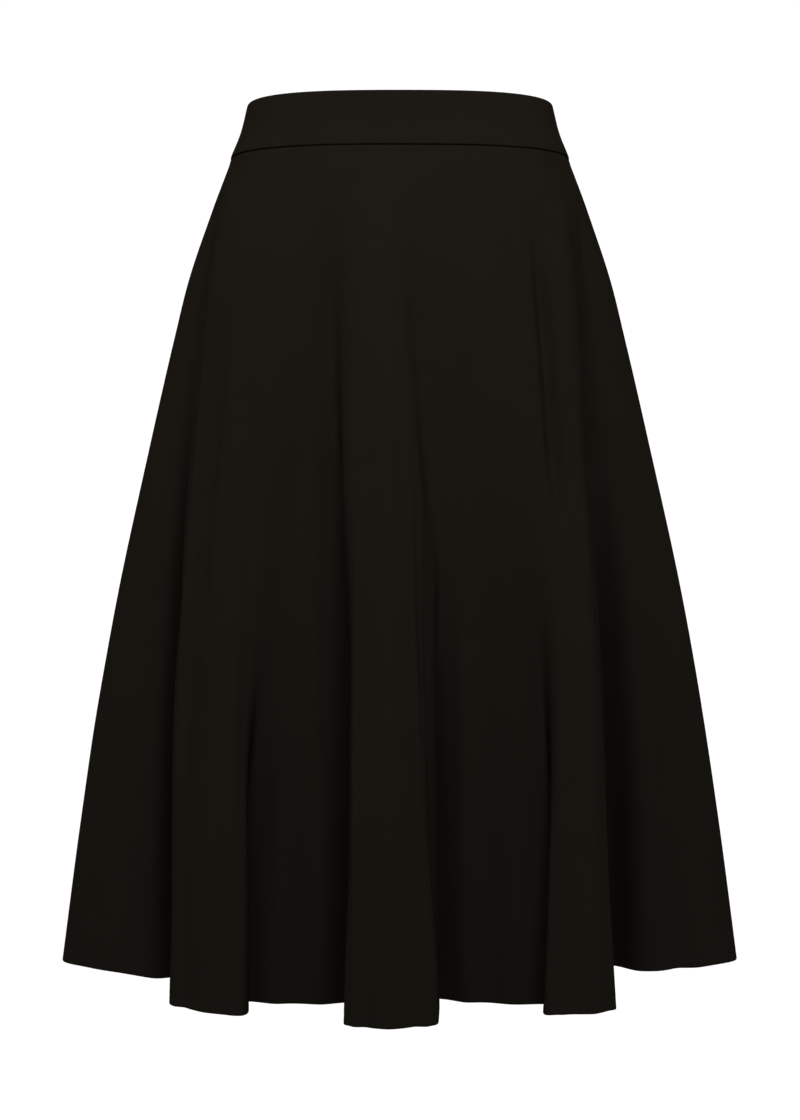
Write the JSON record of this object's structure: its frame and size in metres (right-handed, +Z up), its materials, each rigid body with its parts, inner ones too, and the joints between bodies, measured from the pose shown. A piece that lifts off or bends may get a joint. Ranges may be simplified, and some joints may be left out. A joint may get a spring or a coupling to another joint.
{
  "type": "a-line skirt",
  "caption": "Knee-length flared A-line skirt in plain black cloth, with a shaped waistband, deep soft flutes and a concealed back zip, filled out as worn.",
  "frame": {"origin": "on the skirt's axis, half-way up the waistband, where the wearer's waist holds it", "axes": "+Z up, -Y towards the wearer's front, +X towards the wearer's left"},
  "size_m": [0.5487, 0.4697, 0.693],
  "materials": {
    "cloth": "matte, smooth, closely woven",
    "zip_tape": "matte woven tape with a nylon coil",
    "zip_metal": "satin black paint"
  },
  "bodies": {
    "skirt": {"skirt_front": "cloth", "skirt_back_left": "cloth", "skirt_back_right": "cloth", "waistband_front": "cloth", "waistband_back_left": "cloth", "waistband_back_right": "cloth", "zip_tape_left": "zip_tape", "zip_tape_right": "zip_tape", "zip_coil": "zip_tape", "zip_slider": "zip_metal"},
    "pull_tab": {"zip_pull": "zip_metal"}
  },
  "joints": [
    {"name": "pull_tab_hinge", "type": "hinge", "parent": "skirt", "child": "pull_tab", "pos_m": [0, 0.09265, 0.0127], "axis": [1, 0, 0], "range_deg": [0, 150]}
  ]
}
